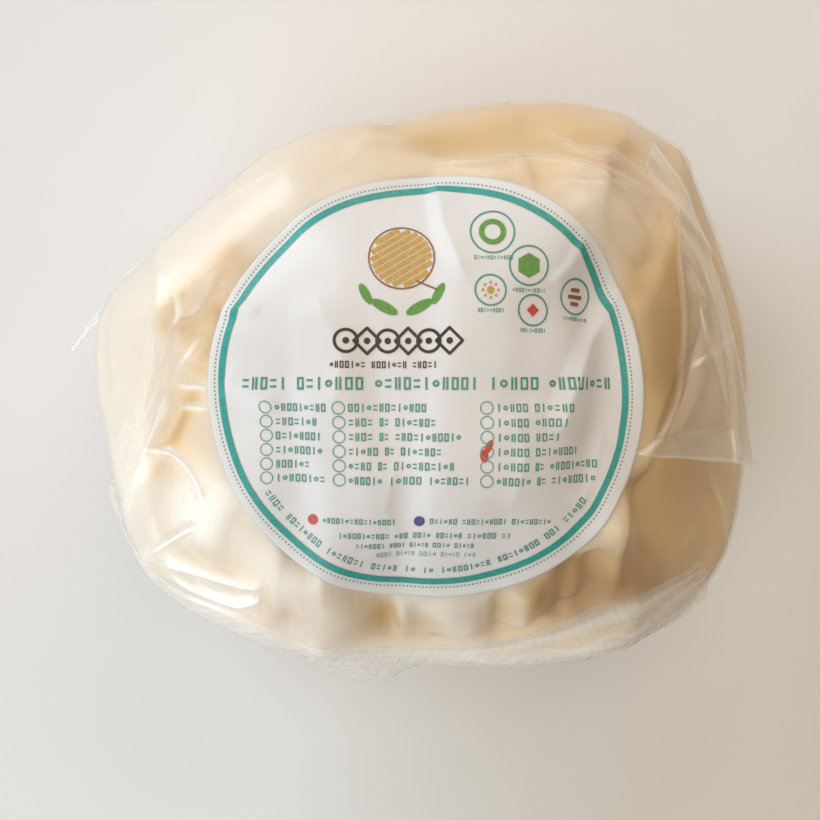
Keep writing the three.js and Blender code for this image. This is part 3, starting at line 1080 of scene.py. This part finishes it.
def shoulder_shape(along, out):
    """Flat and square, with a sealed band along its straight end and its rim, and a few stretched creases."""
    seal = np.maximum(ease((along - 0.87) / 0.02), ease((out - 0.86) / 0.03))
    crease = 0.6 * fading(out - 0.15 - 0.75 * along, 0.03) + fading(out - 0.75 - 0.1 * along, 0.02)
    crease += fading(along - 0.62, 0.012) * ease((out - 0.2) / 0.2)
    edge = np.maximum(ease((along - 0.985) / 0.01), ease((out - 0.975) / 0.02))
    bulge = np.sin(math.pi * out)
    # The creases and the cut edge are whitened as painted highlights, besides the film's own haze.
    haze = 0.16 * ease(out / 0.3) + 0.08 * seal + 0.16 * crease + 0.2 * edge
    lift = (1.2 + 0.9 * np.sin(9 * along + 4 * out)) * bulge + 0.35 * crease - 0.3 * seal
    return lift, np.clip(haze, 0, 1), np.zeros(len(out)), np.ones(len(out))


# Crinkles of the gathered film: the place out from the ball, how far and how often each waves, and its width.
CRINKLES = (
    (0.34, 0.06, 61, 0.03),
    (0.5, 0.07, 43, 0.025),
    (0.72, 0.05, 71, 0.03),
)


def gather_shape(along, out):
    """Pleats that run out from the ball, deeper at the rim, a folded edge on the right, and ragged ends."""
    right = ease((0.5 - along) / 0.2)
    pleats = np.sin(60 * along + 3 * np.sin(14 * along)) * ease(out / 0.4)
    fold = fading(out - 0.3 - 0.12 * np.sin(9 * along), 0.07) * ease((0.5 - along) / 0.15) * ease(along / 0.05)
    second = fading(out - 0.62 - 0.1 * np.sin(13 * along + 1), 0.06) * ease((0.6 - along) / 0.2)
    lip = fading(out - 0.12, 0.05) * ease(along / 0.08) * ease((0.55 - along) / 0.15)
    for middle, wave, beat, width in CRINKLES:
        lip += 0.6 * fading(out - middle - wave * np.sin(beat * along), width) * right
    edge = ease((out - 0.96) / 0.03)
    inner = ease(along / 0.07) * ease((1 - along) / 0.1)
    ragged = 0.55 + 0.45 * inner + 0.04 * np.sin(85 * along) + 0.05 * np.sin(37 * along + 1)
    lift = 0.45 * pleats + 0.8 * lip + 1.6 * fold + 0.9 * second
    lift += 3.4 * np.sin(math.pi * out) * (1 - 0.4 * out) + 2.5 * (1 - inner) * out * np.sin(40 * along)
    # The lip and its crinkles, the folds and the cut edge are whitened: painted highlights on the film's haze.
    haze = 0.08 + 0.08 * along + 0.6 * lip + 0.5 * fold + 0.3 * second + 0.2 * edge
    haze *= 0.4 + 0.6 * inner
    haze += 0.2 * ease((along - 0.55) / 0.12) * ease((0.88 - along) / 0.12)
    return lift, np.clip(haze, 0, 1), 0.5 * ease(out / 0.1), np.minimum(ragged, 1)


def tip_shape(along, out):
    """A narrow pinched end."""
    narrow = 0.9 + 0.1 * np.sin(math.pi * along) ** 0.7
    return 0.5 * np.sin(12 * along) * out, np.full(len(out), 0.3), 0.3 * out, narrow


# The lights: the turn and lean that each shines from, its power and its colour.
LIGHTS = (
    ("window", 138, 20, 9, (0.76, 0.89, 1)),
    ("second_window", 224, 22, 9.4, (0.78, 0.90, 1)),
    ("ceiling", 0, 90, 4, (1, 0.95, 0.82)),
    ("wall_above", 68, 38, 5, (1, 0.96, 0.90)),
    ("wall_right", 0, 45, 1, (1, 0.85, 0.6)),
)
LIGHT_SIZE = 0.9
LIGHT_DISTANCE = 1.2
LIGHT_AIM = 0.03  # the height of the point that they all look at
ROOM_COLOUR = (1, 0.7, 0.4)
ROOM_STRENGTH = 0.09


def area_light(name, turn, lean, power, colour):
    """A square light that looks at the ball from a turn and a lean, in degrees."""
    data = bpy.data.lights.new(name, "AREA")
    data.shape = "SQUARE"
    data.size = LIGHT_SIZE
    data.energy = power
    data.color = colour
    light = bpy.data.objects.new(name, data)
    away = Vector(heading(turn, lean))
    light.location = LIGHT_DISTANCE * away + Vector((0, 0, LIGHT_AIM))
    light.rotation_euler = (-away).to_track_quat("-Z", "Y").to_euler()
    bpy.context.scene.collection.objects.link(light)


TABLE_REACH = 3000
# Painted light and shade on the table: its colours, by their place on a line from the upper left, 0, to the
# lower right, 1. It is painted darker at both ends and lightest near the ball.
PAINTED_SHADING_RUN = (0.8, -0.6, 0)
PAINTED_SHADING_REACH = 0.1  # from the frame's origin to the ends of the line, in metres
TABLE_PAINTED_SHADING = (
    (0.1, (0.84, 0.805, 0.80)),
    (0.45, (0.93, 0.90, 0.895)),
    (0.62, (0.95, 0.935, 0.94)),
    (0.8, (0.90, 0.87, 0.84)),
    (0.95, (0.80, 0.745, 0.67)),
)


def table_and_light():
    bm = bmesh.new()
    bmesh.ops.create_grid(bm, x_segments=1, y_segments=1, size=TABLE_REACH)
    material, tree, shader = new_material("table")
    shader.inputs["Roughness"].default_value = 0.8
    place = node(tree, "TexCoord", "Object")
    along = node(tree, "VectorMath", "Value", {0: place, 1: PAINTED_SHADING_RUN}, operation="DOT_PRODUCT")
    share = node(tree, "MapRange", "Result", Value=along, From_Min=-PAINTED_SHADING_REACH, From_Max=PAINTED_SHADING_REACH)
    feed(tree, shader.inputs["Base Color"], ramp(tree, share, *TABLE_PAINTED_SHADING))
    table = piece_from(bm, "table", material, middle=np.zeros(3))
    for light in LIGHTS:
        area_light(*light)
    world = bpy.data.worlds.new("room")
    world.use_nodes = True
    background = world.node_tree.nodes["Background"]
    background.inputs["Color"].default_value = (*ROOM_COLOUR, 1)
    background.inputs["Strength"].default_value = ROOM_STRENGTH
    bpy.context.scene.world = world


CAMERA_HEIGHT = 0.6  # in metres
CAMERA_ASIDE = (-1.6, -4.6)  # from the ball's middle
LENS = 125.9


def camera_above():
    """Looks straight down."""
    data = bpy.data.cameras.new("camera")
    data.lens = LENS
    camera = bpy.data.objects.new("camera", data)
    x, y = (BALL_MIDDLE[:2] + CAMERA_ASIDE) * MM
    camera.location = (x, y, CAMERA_HEIGHT)
    bpy.context.scene.collection.objects.link(camera)
    bpy.context.scene.camera = camera
    bpy.context.scene.view_settings.view_transform = "Standard"


camera_above()
table_and_light()
cheese, film_tree = ball_and_film()
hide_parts("bag")
surface = LabelSurface(film_tree)
paper = label_sheet(surface)
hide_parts("label")
print_on(surface)
loose = film_material("loose_film", *LOOSE_FILM)
loose_film("film_shoulder", film_tree, SHOULDER_ROOT, SHOULDER_RIM, (120, 60), shoulder_shape, loose)
loose_film("film_gather", film_tree, GATHER_ROOT, GATHER_RIM, (360, 36), gather_shape, loose)
loose_film("film_tip", film_tree, TIP_ROOT, TIP_RIM, (30, 16), tip_shape, loose)
